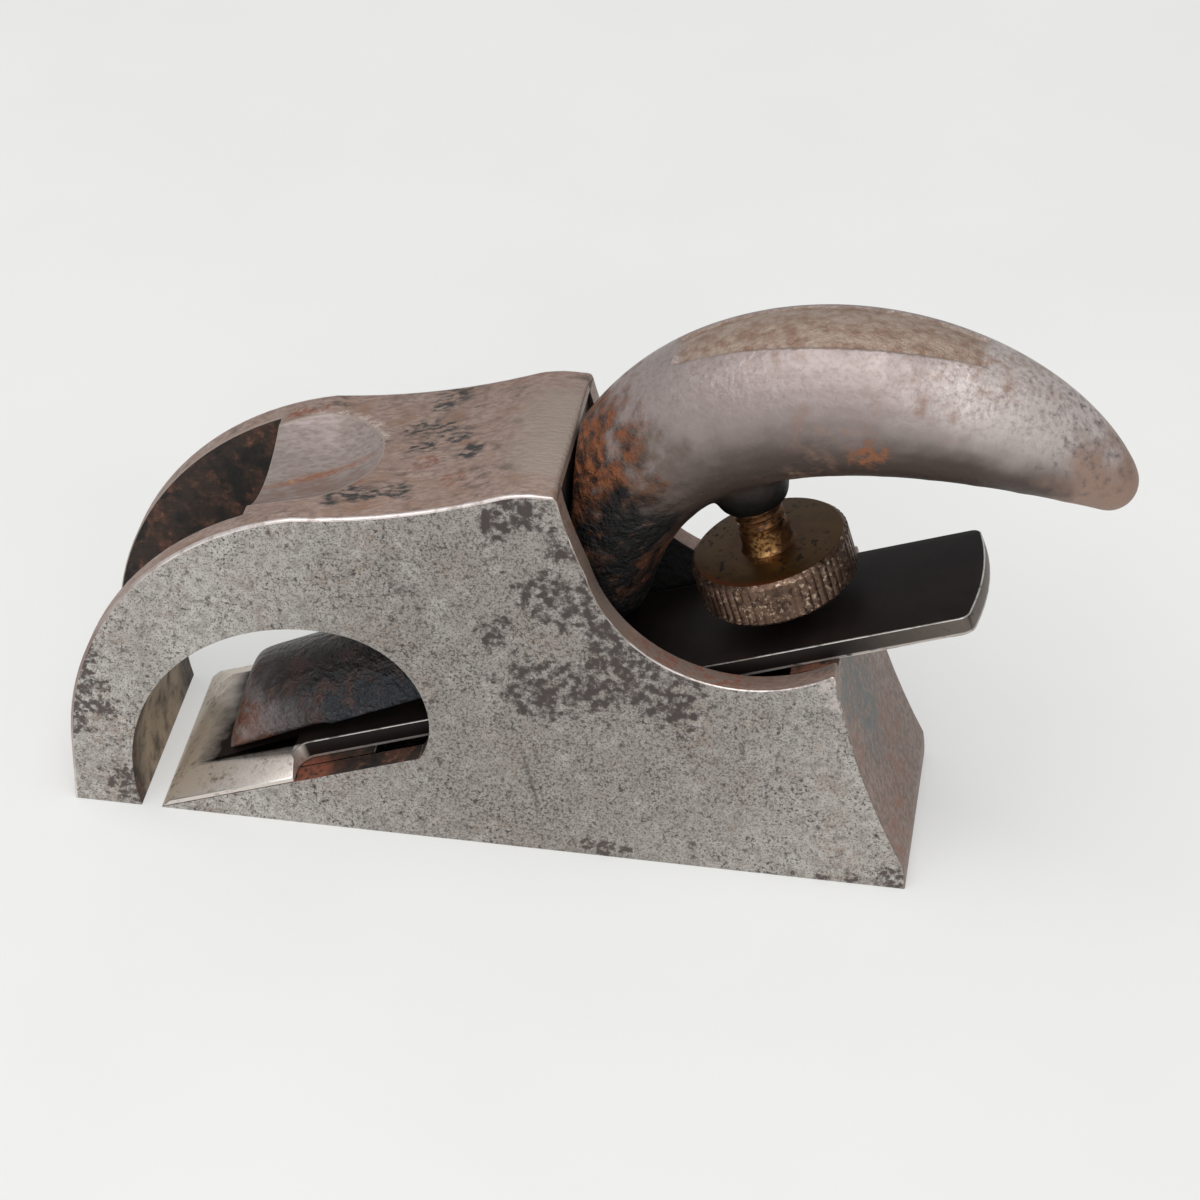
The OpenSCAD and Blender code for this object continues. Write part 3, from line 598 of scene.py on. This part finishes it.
def worn_iron():
    """Hand-worn casting: bright satin above and dark patina below, partly wear and partly painted top light,
    with a painted highlight along the horn; rust at the neck, black japan in its lee, and painted shade on
    the boss.
    """
    material, tree, shader = new_material("hand_worn_cast_iron")
    where = add(tree, "ShaderNodeTexCoord", {}, out="Object")
    facing = add(tree, "ShaderNodeTexCoord", {}, out="Normal")
    # Paler where the surface faces up and darker below: partly hand wear, partly painted top light.
    facing_up = add(tree, "ShaderNodeSeparateXYZ", {"Vector": facing}, out="Z")
    wavy = add(tree, "ShaderNodeTexNoise", {"Vector": where, "Scale": 1 / (8.0 * MM), "Detail": 4.0})
    facing_up = add(tree, "ShaderNodeMath", {0: wavy, 1: 0.5, 2: facing_up}, operation="MULTIPLY_ADD")
    worn = add(tree, "ShaderNodeMapRange", {"Value": facing_up, "From Min": -0.15, "From Max": 1.05},
               interpolation_type="SMOOTHSTEP")
    cloud = overlap(tree, [worn, blotches(tree, 5.0, 0.36, 0.76)])
    grain = overlap(tree, [worn, blotches(tree, 0.6, 0.40, 0.80, detail=4.0)])
    rust = overlap(tree, [blotches(tree, 1.8, 0.42, 0.74, detail=5.0, shift=0.3),
                          blotches(tree, 11.0, 0.50, 0.72, shift=0.5)])
    # A darker brown patch on the near flank of the horn, close to the neck.
    near_dark_patch = overlap(tree, [around(tree, (18.5, -8.5, 52.0), 7.5, ragged=0.7),
                            blotches(tree, 1.8, 0.28, 0.62, detail=6.0, shift=0.5)])
    # Painted highlight: a paler patch along the top of the horn towards its end.
    painted_highlight = overlap(tree, [worn, around(tree, (60, -6, 59), 20, ragged=0.4, grain_mm=5)])
    neck = either(tree, [around(tree, (8, -4, 50), 14, ragged=0.7),
                         around(tree, (13, -3, 34), 15, ragged=0.4)])
    neck_rust = overlap(tree, [neck, blotches(tree, 1.4, 0.36, 0.64, detail=5.0, shift=0.6)])
    japan = overlap(tree, [
        either(tree, [around(tree, (16, -8, 43), 9, ragged=0.7), around(tree, (13, -6, 36.5), 8, ragged=0.6),
                      around(tree, (14, 0, 31), 13, ragged=0.5)]),
        blotches(tree, 2.0, 0.20, 0.46, detail=5.0, shift=0.1)])
    # Painted shade: the boss under the horn is painted near black, with almost no sheen.
    shaded_boss = around(tree, (29.3, 0, 44.0), 11.0, ragged=0.1)
    tongue = around(tree, (-10, 0, 20), 32, ragged=0.1)
    # Painted shading: the tongue's upward faces get a browner tone than its blue-black flanks, to mark the
    # ridge.
    back = add(tree, "ShaderNodeMapRange", {"Value": facing_up, "From Min": 0.85, "From Max": 1.05})
    tongue_top_shading = overlap(tree, [tongue, back])
    tongue_rust = overlap(tree, [tongue, blotches(tree, 3.2, 0.48, 0.64, detail=5.0, shift=0.9)])
    tip = overlap(tree, [around(tree, (-32, -5, 6), 8, ragged=0.6),
                         blotches(tree, 1.5, 0.26, 0.56, shift=0.4)])
    spot = overlap(tree, [around(tree, (42.7, -9, 58), 2.6, ragged=1.0, grain_mm=1.2),
                          blotches(tree, 0.9, 0.30, 0.60, shift=0.2)])
    brown_tip = around(tree, (72, -2, 51), 12, ragged=0.6, grain_mm=4)
    point = overlap(tree, [around(tree, (67, -2, 58), 10, ragged=0.6),
                           blotches(tree, 1.1, 0.46, 0.78, detail=6.0, shift=0.2)])
    share = add(tree, "ShaderNodeAttribute", {}, out="Fac", attribute_name="panel_share")
    panel = add(tree, "ShaderNodeMapRange", {"Value": share, "From Min": 1.02, "From Max": 0.92})
    panel_grime = overlap(tree, [panel, blotches(tree, 1.6, 0.36, 0.70, detail=5.0, shift=0.7)])
    panel_rust = overlap(tree, [panel, around(tree, (52, -3, 61), 7, ragged=0.8, grain_mm=2)])
    layers = [(worn, "#A69996"), (cloud, "#9A8C8A"), (painted_highlight, "#CBC0BC"), (grain, "#8D7F77"),
              (rust, "#8B6E5F"), (near_dark_patch, "#63544B"), (brown_tip, "#94796B"), (point, "#5A5252"),
              (panel, "#9F8C7E"), (panel_grime, "#846857"), (panel_rust, "#8E604A"), (spot, "#8A5637"),
              (neck, "#3A271F"), (neck_rust, "#834E30"), (japan, "#151515"), (shaded_boss, "#0B0B0B"),
              (tongue, "#20242A"), (tongue_top_shading, "#2B2320"), (tongue_rust, "#46302A"), (tip, "#6B4636")]
    tree.links.new(coats(tree, linear("#44362F"), layers), shader.inputs["Base Color"])
    metal = blend_numbers(tree, 0.3, [(worn, 0.55), (rust, 0.3), (panel, 0.2), (neck, 0.1), (japan, 0.0),
                                      (shaded_boss, 0.0), (tongue, 0.0)])
    tree.links.new(metal, shader.inputs["Metallic"])
    rough = blend_numbers(tree, 0.52, [(worn, 0.44), (grain, 0.48), (rust, 0.6), (neck_rust, 0.7),
                                       (japan, 0.45), (tongue, 0.30)])
    tree.links.new(rough, shader.inputs["Roughness"])
    sheen = blend_numbers(tree, 0.5, [(neck, 0.3), (japan, 0.25), (shaded_boss, 0.08)])
    tree.links.new(sheen, shader.inputs["Specular IOR Level"])
    lumps = blotches(tree, 1.3, 0.25, 0.75, detail=4.0)
    rough_cast = blend_numbers(tree, 0.10, [(neck, 0.7), (japan, 0.7), (panel, 0.4), (tongue, 1.0)])
    height = overlap(tree, [lumps, rough_cast])
    bump = add(tree, "ShaderNodeBump", {"Height": height, "Strength": 0.8, "Distance": 0.7 * MM})
    tree.links.new(bump, shader.inputs["Normal"])
    return material


SCREW_FOOT = Vector(JOINTS["screw_turn"]["pos_m"])
SCREW_AXIS = Vector(JOINTS["screw_turn"]["axis"])
HORN_MM = [Vector(p) for p in ((10.9, 33.0, 7.1), (14.6, 66.4, 9.9), (52.5, 65.6, 12.7), (69.6, 52.0, 3.5))]
HORN_RINGS = 60
TIP_RINGS = 10
LAST_TIP_ANGLE = math.radians(88)
NECK_FRONT = 8.8 * MM
BORE_R = 3.4 * MM
BORE_LENGTH_MM, BORE_MIDDLE_MM = 25, 13
BOSS_END_MM, BOSS_TOP_MM = 15.3, 17.8
BOSS_END_R, BOSS_TOP_R = 3.7 * MM, 5.6 * MM
WASTE_R = 7 * MM
CONE_OVERLAP_MM = 0.2
TONGUE_SLOPE = math.radians(25.5)
VOXEL_MM = 0.36
SKIN_SMOOTHINGS = 11
TIP_ROUNDINGS = ((-20.0, 12), (-27.0, 40))
PANEL_MIDDLE_MM = 37.3
PANEL_HALF_LENGTH_MM = 17.6
PANEL_HALF_WIDTH_MM = 4.6
PANEL_END_WIDTH_MM = 2.9
PANEL_DEPTH_MM = 0.5
PANEL_LEVEL_MM = 60.0
PANEL_MARGIN = 1.15
PANEL_SMOOTHINGS = 4
FAR_OUTSIDE = 2.0


def horn_ball(t):
    """The ball that the horn's skin wraps at t along its curve: X, Z and radius, in millimetres."""
    a, b, c, d = HORN_MM
    return (1 - t) ** 3 * a + 3 * t * (1 - t) ** 2 * b + 3 * t * t * (1 - t) * c + t ** 3 * d


def horn_ring(t):
    """Where the skin touches that ball: its middle, its radius, its direction and the swell's slope."""
    ball = horn_ball(t)
    step = horn_ball(t + 0.001) - horn_ball(t - 0.001)
    direction = step.xy.normalized()
    slope = step.z / step.xy.length
    return ball.xy - direction * ball.z * slope, ball.z * math.sqrt(1 - slope * slope), direction, slope


def panel_share(point):
    """How far a point is from the middle of the sunk panel to its edge: under 1 lies inside."""
    along = (point.x / MM - PANEL_MIDDLE_MM) / PANEL_HALF_LENGTH_MM
    half_width = PANEL_HALF_WIDTH_MM + (PANEL_END_WIDTH_MM - PANEL_HALF_WIDTH_MM) * along ** 2
    across = abs(point.y) / MM / half_width
    return max(abs(along), across) if point.z > PANEL_LEVEL_MM * MM else FAR_OUTSIDE


def select_panel(piece, reach):
    """Selects a piece's corners within a share of the panel's outline, in edit mode."""
    bpy.ops.object.mode_set(mode="OBJECT")
    for corner in piece.data.vertices:
        corner.select = panel_share(corner.co) < reach
    bpy.ops.object.mode_set(mode="EDIT")


lever = copy_solid("lever_cap", "lever_cap_horn")
along_screw = SCREW_AXIS.to_track_quat("Z", "Y").to_euler()
bpy.ops.object.select_all(action="DESELECT")
bpy.ops.mesh.primitive_cylinder_add(vertices=64, radius=WASTE_R, depth=BOSS_TOP_MM * MM, rotation=along_screw,
                                    location=SCREW_FOOT + SCREW_AXIS * BOSS_TOP_MM / 2 * MM)
waste = bpy.context.object
cone_middle_mm = (BOSS_TOP_MM + BOSS_END_MM + CONE_OVERLAP_MM) / 2
bpy.ops.mesh.primitive_cone_add(vertices=64, radius1=BOSS_END_R, radius2=BOSS_TOP_R,
                                depth=(BOSS_TOP_MM - BOSS_END_MM + CONE_OVERLAP_MM) * MM,
                                location=SCREW_FOOT + SCREW_AXIS * cone_middle_mm * MM, rotation=along_screw)
cone = bpy.context.object
apply_modifier(waste, "BOOLEAN", operation="DIFFERENCE", object=cone, solver="EXACT")
apply_modifier(lever, "BOOLEAN", operation="DIFFERENCE", object=waste, solver="EXACT")
bpy.data.objects.remove(waste)
bpy.data.objects.remove(cone)

rings = [horn_ring(i / HORN_RINGS)[:2] for i in range(HORN_RINGS + 1)]
tip_ball = horn_ball(1.0)
tip_direction, tip_slope = horn_ring(1.0)[2:]
first_angle = math.asin(-tip_slope)
for i in range(1, TIP_RINGS + 1):
    angle = first_angle + (LAST_TIP_ANGLE - first_angle) * i / TIP_RINGS
    rings.append((tip_ball.xy + tip_direction * tip_ball.z * math.sin(angle), tip_ball.z * math.cos(angle)))
horn_curve = bpy.data.curves.new("horn", "CURVE")
horn_curve.dimensions = "3D"
horn_curve.bevel_depth = MM
horn_curve.bevel_resolution = 14
horn_curve.use_fill_caps = True
spline = horn_curve.splines.new("POLY")
spline.points.add(len(rings) - 1)
for point, (middle, radius) in zip(spline.points, rings):
    point.co = (middle.x * MM, 0, middle.y * MM, 1)
    point.radius = radius
horn = bpy.data.objects.new("horn", horn_curve)
bpy.context.scene.collection.objects.link(horn)
work_on(horn)
bpy.ops.object.convert(target="MESH")
bpy.ops.object.mode_set(mode="EDIT")
bpy.ops.mesh.select_all(action="SELECT")
bpy.ops.mesh.remove_doubles(threshold=0.001 * MM)
bpy.ops.mesh.bisect(plane_co=(NECK_FRONT, 0, 0), plane_no=(1, 0, 0), use_fill=True, clear_inner=True)
bpy.ops.mesh.select_all(action="SELECT")
bpy.ops.mesh.normals_make_consistent(inside=False)
bpy.ops.object.mode_set(mode="OBJECT")
bpy.ops.object.select_all(action="DESELECT")
bpy.ops.mesh.primitive_cylinder_add(vertices=64, radius=BORE_R, depth=BORE_LENGTH_MM * MM,
                                    rotation=along_screw,
                                    location=SCREW_FOOT + SCREW_AXIS * BORE_MIDDLE_MM * MM)
bore = bpy.context.object
apply_modifier(horn, "BOOLEAN", operation="DIFFERENCE", object=bore, solver="EXACT")
bpy.data.objects.remove(bore)

work_on(horn)
lever.select_set(True)
bpy.context.view_layer.objects.active = lever
bpy.ops.object.join()
lever.rotation_euler.y = TONGUE_SLOPE
bpy.ops.object.transform_apply(rotation=True)
apply_modifier(lever, "REMESH", mode="VOXEL", voxel_size=VOXEL_MM * MM)
apply_modifier(lever, "SMOOTH", factor=0.5, iterations=SKIN_SMOOTHINGS)
lever.rotation_euler.y = -TONGUE_SLOPE
bpy.ops.object.transform_apply(rotation=True)
lever.data.materials.clear()
lever.data.materials.append(worn_iron())

select_none(lever, "VERT")
for reach_mm, times in TIP_ROUNDINGS:
    bpy.ops.object.mode_set(mode="OBJECT")
    for corner in lever.data.vertices:
        corner.select = corner.co.x < reach_mm * MM
    bpy.ops.object.mode_set(mode="EDIT")
    bpy.ops.mesh.vertices_smooth(factor=0.5, repeat=times)
bpy.ops.mesh.select_all(action="DESELECT")
select_panel(lever, PANEL_MARGIN)
bpy.ops.mesh.subdivide(number_cuts=1)
bpy.ops.mesh.select_all(action="DESELECT")
select_panel(lever, 1.0)
bpy.ops.transform.shrink_fatten(value=-PANEL_DEPTH_MM * MM)
bpy.ops.mesh.select_more()
bpy.ops.mesh.vertices_smooth(factor=0.5, repeat=PANEL_SMOOTHINGS)
bpy.ops.object.mode_set(mode="OBJECT")
bpy.ops.object.shade_smooth()
share = lever.data.attributes.new("panel_share", "FLOAT", "POINT")
share.data.foreach_set("value", [panel_share(corner.co) for corner in lever.data.vertices])
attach(lever, "lever_cap")
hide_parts("lever_cap")


# The thumb screw is turned from one bar: a straight-knurled head, a plain neck, a thread that runs up
# into the lever cap's boss, and a domed foot that stands on the cutter. Its plating has worn through.
# It is turned upright in millimetres, and then brought to metres and leant into its place.

def tarnished_brass():
    """Old brass: olive and dull on the flat of the head, golden brown on the thread, with dark stains and a
    bright gold patch on the neck's near face that is partly painted highlight.
    """
    material, tree, shader = new_material("tarnished_brass")
    cloud = blotches(tree, 3.0, 0.40, 0.65)
    stains = overlap(tree, [blotches(tree, 0.9, 0.54, 0.64, shift=0.3), blotches(tree, 5.0, 0.36, 0.6)])
    shank = around(tree, (30.2, 0, 42.0), 5.4, ragged=0.5, grain_mm=1.5)
    dark = overlap(tree, [shank, blotches(tree, 0.8, 0.42, 0.62, shift=0.8)])
    # Bright gold on the near face of the screw's plain neck: brass showing through, and partly a painted
    # highlight.
    gold_and_highlight = overlap(tree, [around(tree, (31, -3, 40.2), 2.4, ragged=0.5, grain_mm=0.8),
                          blotches(tree, 0.5, 0.38, 0.60, shift=0.1)])
    where = add(tree, "ShaderNodeTexCoord", {}, out="Object")
    where = add(tree, "ShaderNodeVectorMath", {0: where, 1: SCREW_FOOT}, operation="SUBTRACT")
    where = add(tree, "ShaderNodeVectorMath", {0: where, 1: SCREW_AXIS}, operation="CROSS_PRODUCT")
    from_axis = add(tree, "ShaderNodeVectorMath", {0: where}, out="Value", operation="LENGTH")
    rim = add(tree, "ShaderNodeMapRange", {"Value": from_axis, "From Min": 7.9 * MM, "From Max": 8.7 * MM})
    rim_rust = overlap(tree, [rim, around(tree, (28.5, -8.5, 38.5), 9, ragged=0.5, grain_mm=1.5)])
    root = add(tree, "ShaderNodeMapRange", {"Value": from_axis, "From Min": 5.4 * MM, "From Max": 3.4 * MM})
    root = overlap(tree, [root, blotches(tree, 1.2, 0.30, 0.60, shift=0.5)])
    layers = [(cloud, "#5E4424"), (stains, "#20180F"), (root, "#4A2C16"), (shank, "#704A2A"),
              (dark, "#3C2716"), (gold_and_highlight, "#BA8F5A"), (rim_rust, "#6B3A1C")]
    tree.links.new(coats(tree, linear("#52391B"), layers), shader.inputs["Base Color"])
    shader.inputs["Metallic"].default_value = 0.75
    rough = blend_numbers(tree, 0.36, [(cloud, 0.42), (stains, 0.55)])
    tree.links.new(rough, shader.inputs["Roughness"])
    return material


def worn_plating():
    """Worn nickel on the knurl: grey-brown, dark in spots and rubbed bright here and there."""
    material, tree, shader = new_material("worn_nickel_plate")
    cloud = blotches(tree, 1.6, 0.40, 0.62)
    bare = overlap(tree, [blotches(tree, 0.5, 0.52, 0.66, shift=0.4),
                          blotches(tree, 2.2, 0.36, 0.60, shift=0.6)])
    dark = blotches(tree, 0.7, 0.46, 0.66, shift=0.7)
    layers = [(cloud, "#5C473A"), (dark, "#3C2E27"), (bare, "#B5A08C")]
    tree.links.new(coats(tree, linear("#6A5345"), layers), shader.inputs["Base Color"])
    shader.inputs["Metallic"].default_value = 0.8
    shader.inputs["Roughness"].default_value = 0.40
    return material


RIDGES = 58
STEPS_PER_RIDGE = 4
AXIS_STEPS = STEPS_PER_RIDGE * RIDGES
HEAD_R_MM = 9.5
HEAD_LOW_MM, HEAD_HIGH_MM = 3.85, 9.45
CHAMFER_MM = 0.5
GROOVE_MM = 0.15
PLAIN_R_MM, PLAIN_LENGTH_MM = 2.97, 1.9
FLARE_MM = 0.4
THREAD_R_MM, THREAD_ROOT_MM = 2.92, 2.54
PITCH_MM = 1.27
THREAD_LOW_MM = 11.2
THREAD_TURNS = 8
FOOT_R_MM = 2.8
MERGE_MM = 0.001
TURNED_SMOOTH_UNDER = math.radians(35)
BRASS, PLATE = range(2)


def select_end(piece, facing):
    """Selects the one many-sided end face that looks up (1) or down (-1), in edit mode."""
    bpy.ops.object.mode_set(mode="OBJECT")
    for part in (piece.data.vertices, piece.data.edges, piece.data.polygons):
        part.foreach_set("select", [False] * len(part))
    ends = [f for f in piece.data.polygons if len(f.vertices) == AXIS_STEPS and f.normal.z * facing > 0.5]
    max(ends, key=lambda f: f.center.z * facing).select = True
    bpy.ops.object.mode_set(mode="EDIT")
    bpy.ops.mesh.select_mode(type="FACE")


def turn_step(piece, facing, radius_now, radius, rise):
    """Carries an end on by one step of its turned profile: a new radius, and a rise along the axis."""
    select_end(piece, facing)
    bpy.ops.mesh.extrude_region_move(TRANSFORM_OT_translate={"value": (0, 0, facing * rise)})
    share = radius / radius_now
    bpy.ops.transform.resize(value=(share, share, 1), center_override=(0, 0, 0))
    bpy.ops.object.mode_set(mode="OBJECT")


bpy.ops.object.select_all(action="DESELECT")
bpy.ops.mesh.primitive_cylinder_add(vertices=AXIS_STEPS, radius=HEAD_R_MM,
                                    depth=HEAD_HIGH_MM - HEAD_LOW_MM - 2 * CHAMFER_MM,
                                    location=(0, 0, (HEAD_HIGH_MM + HEAD_LOW_MM) / 2))
screw = bpy.context.object
screw.name = "thumb_screw_turned"
bpy.ops.object.transform_apply(location=True, rotation=True, scale=True)
work_on(screw)
flat_r_mm = HEAD_R_MM - CHAMFER_MM
upward_mm = [(flat_r_mm, CHAMFER_MM), (flat_r_mm - 0.15, 0.03), (PLAIN_R_MM + FLARE_MM, 0.0),
             (PLAIN_R_MM + FLARE_MM * 0.3, FLARE_MM * 0.5), (PLAIN_R_MM, FLARE_MM * 0.8),
             (PLAIN_R_MM, PLAIN_LENGTH_MM), (THREAD_ROOT_MM, 0.3)]
downward_mm = [(flat_r_mm, CHAMFER_MM), (FOOT_R_MM + 0.3, 0.0), (FOOT_R_MM, 0.3), (FOOT_R_MM, 2.8),
               (FOOT_R_MM * 0.75, 0.35), (FOOT_R_MM * 0.4, 0.26), (FOOT_R_MM * 0.1, 0.12)]
for facing, profile in ((1, upward_mm), (-1, downward_mm)):
    radius_now = HEAD_R_MM
    for radius, rise in profile:
        turn_step(screw, facing, radius_now, radius, rise)
        radius_now = radius
for corner in screw.data.vertices:
    step = round(math.atan2(corner.co.y, corner.co.x) / (2 * math.pi) * AXIS_STEPS)
    if corner.co.xy.length > HEAD_R_MM - 0.01 and step % STEPS_PER_RIDGE == 0:
        corner.co.xy *= (HEAD_R_MM - GROOVE_MM) / HEAD_R_MM
screw.data.materials.append(tarnished_brass())
screw.data.materials.append(worn_plating())
for face in screw.data.polygons:
    beside_head = HEAD_LOW_MM < face.center.z < HEAD_HIGH_MM
    on_rim = beside_head and face.center.xy.length > HEAD_R_MM - 1.2 * CHAMFER_MM
    face.material_index = PLATE if on_rim else BRASS

bpy.ops.object.select_all(action="DESELECT")
bpy.ops.mesh.primitive_plane_add(size=1)
thread = bpy.context.object
bpy.ops.object.mode_set(mode="EDIT")
bpy.ops.mesh.delete(type="VERT")
bpy.ops.object.mode_set(mode="OBJECT")
groove_mm = [(THREAD_ROOT_MM, 0.0), (THREAD_ROOT_MM, 0.12), (THREAD_R_MM, 0.44), (THREAD_R_MM, 0.56),
             (THREAD_ROOT_MM, 0.88), (THREAD_ROOT_MM, 1.0)]
thread.data.from_pydata([(radius, 0, THREAD_LOW_MM + share * PITCH_MM) for radius, share in groove_mm],
                        [(i, i + 1) for i in range(len(groove_mm) - 1)], [])
apply_modifier(thread, "SCREW", axis="Z", angle=2 * math.pi, screw_offset=PITCH_MM, iterations=THREAD_TURNS,
               steps=48, render_steps=48, use_merge_vertices=True, merge_threshold=MERGE_MM,
               use_normal_calculate=True)
work_on(thread)
bpy.ops.object.mode_set(mode="EDIT")
bpy.ops.mesh.select_all(action="SELECT")
bpy.ops.mesh.remove_doubles(threshold=MERGE_MM)
bpy.ops.mesh.fill_holes(sides=0)
bpy.ops.mesh.normals_make_consistent(inside=False)
bpy.ops.object.mode_set(mode="OBJECT")
thread.data.materials.append(screw.data.materials[BRASS])
work_on(thread)
screw.select_set(True)
bpy.context.view_layer.objects.active = screw
bpy.ops.object.join()
lean = Vector((0, 0, 1)).rotation_difference(SCREW_AXIS).to_matrix().to_4x4()
screw.matrix_world = Matrix.Translation(SCREW_FOOT) @ lean @ Matrix.Scale(MM, 4)
work_on(screw)
bpy.ops.object.transform_apply(location=True, rotation=True, scale=True)
bpy.ops.object.shade_smooth_by_angle(angle=TURNED_SMOOTH_UNDER)
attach(screw, "thumb_screw")
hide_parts("thumb_screw")


# The stage is a pale matt floor under two large soft lamps and an even sky, with the camera where the
# photographer stood: a little to the right of square to the side, looking down by about 36 degrees.

def pale_floor():
    """Matt pale paper; part of its tone is its own for the eye and for reflections, which softens shadows."""
    material, tree, shader = new_material("pale_paper")
    cloud = blotches(tree, 60.0, 0.30, 0.70)
    tone = coats(tree, linear("#EFEFED"), [(cloud, "#EBEBE9")])
    tree.links.new(tone, shader.inputs["Base Color"])
    shader.inputs["Roughness"].default_value = 0.9
    seen = [add(tree, "ShaderNodeLightPath", {}, out=ray) for ray in
            ("Is Camera Ray", "Is Glossy Ray", "Is Transmission Ray")]
    share = add(tree, "ShaderNodeMath", {0: either(tree, seen), 1: 0.40}, operation="MULTIPLY")
    glow = add(tree, "ShaderNodeEmission", {"Color": linear("#EDEDEB"), "Strength": 1.0})
    mixed = add(tree, "ShaderNodeMixShader", {0: share, 1: shader.outputs[0], 2: glow})
    tree.links.new(mixed, tree.nodes["Material Output"].inputs["Surface"])
    return material


FLOOR_SIZE = 3.0
FLOOR_DROP = 0.02 * MM
bpy.ops.object.select_all(action="DESELECT")
bpy.ops.mesh.primitive_plane_add(size=FLOOR_SIZE, location=(0, 0, -FLOOR_DROP))
floor = bpy.context.object
floor.name = "floor"
bpy.ops.object.transform_apply(location=True, rotation=True, scale=True)
floor.data.materials.append(pale_floor())

world = bpy.data.worlds.new("even_sky")
bpy.context.scene.world = world
world.use_nodes = True
world.node_tree.nodes["Background"].inputs["Color"].default_value = linear("#F4F6F8")
world.node_tree.nodes["Background"].inputs["Strength"].default_value = 0.46

LAMPS = {"top_lamp": ((-0.08, -0.30, 0.95), 1.0, 7.3), "front_lamp": ((0.15, -1.10, 0.55), 0.9, 3.6)}
LAMP_TARGET = Vector((0, 0, 0.03))
for name, (place, size, watts) in LAMPS.items():
    bpy.ops.object.light_add(type="AREA", location=place)
    lamp = bpy.context.object
    lamp.name = name
    lamp.data.shape = "SQUARE"
    lamp.data.size = size
    lamp.data.energy = watts
    lamp.rotation_euler = (LAMP_TARGET - Vector(place)).to_track_quat("-Z", "Y").to_euler()

CAMERA_TARGET = Vector((0.011505, 0, 0.027965))
CAMERA_DISTANCE = 0.4689
CAMERA_AZIMUTH = math.radians(8.108)
CAMERA_ELEVATION = math.radians(35.609)
CAMERA_ROLL = math.radians(1.151)
LENS_MM = 118.3
back = Vector((math.sin(CAMERA_AZIMUTH) * math.cos(CAMERA_ELEVATION),
               -math.cos(CAMERA_AZIMUTH) * math.cos(CAMERA_ELEVATION), math.sin(CAMERA_ELEVATION)))
level = Vector((math.cos(CAMERA_AZIMUTH), math.sin(CAMERA_AZIMUTH), 0))
right = math.cos(CAMERA_ROLL) * level + math.sin(CAMERA_ROLL) * back.cross(level)
up = back.cross(right)
bpy.ops.object.camera_add(location=CAMERA_TARGET + back * CAMERA_DISTANCE)
camera = bpy.context.object
camera.rotation_euler = Matrix((right, up, back)).transposed().to_euler()
camera.data.lens = LENS_MM
camera.data.sensor_width = 36.0
camera.data.clip_start = 0.01
bpy.context.scene.camera = camera
bpy.context.scene.view_settings.view_transform = "Standard"
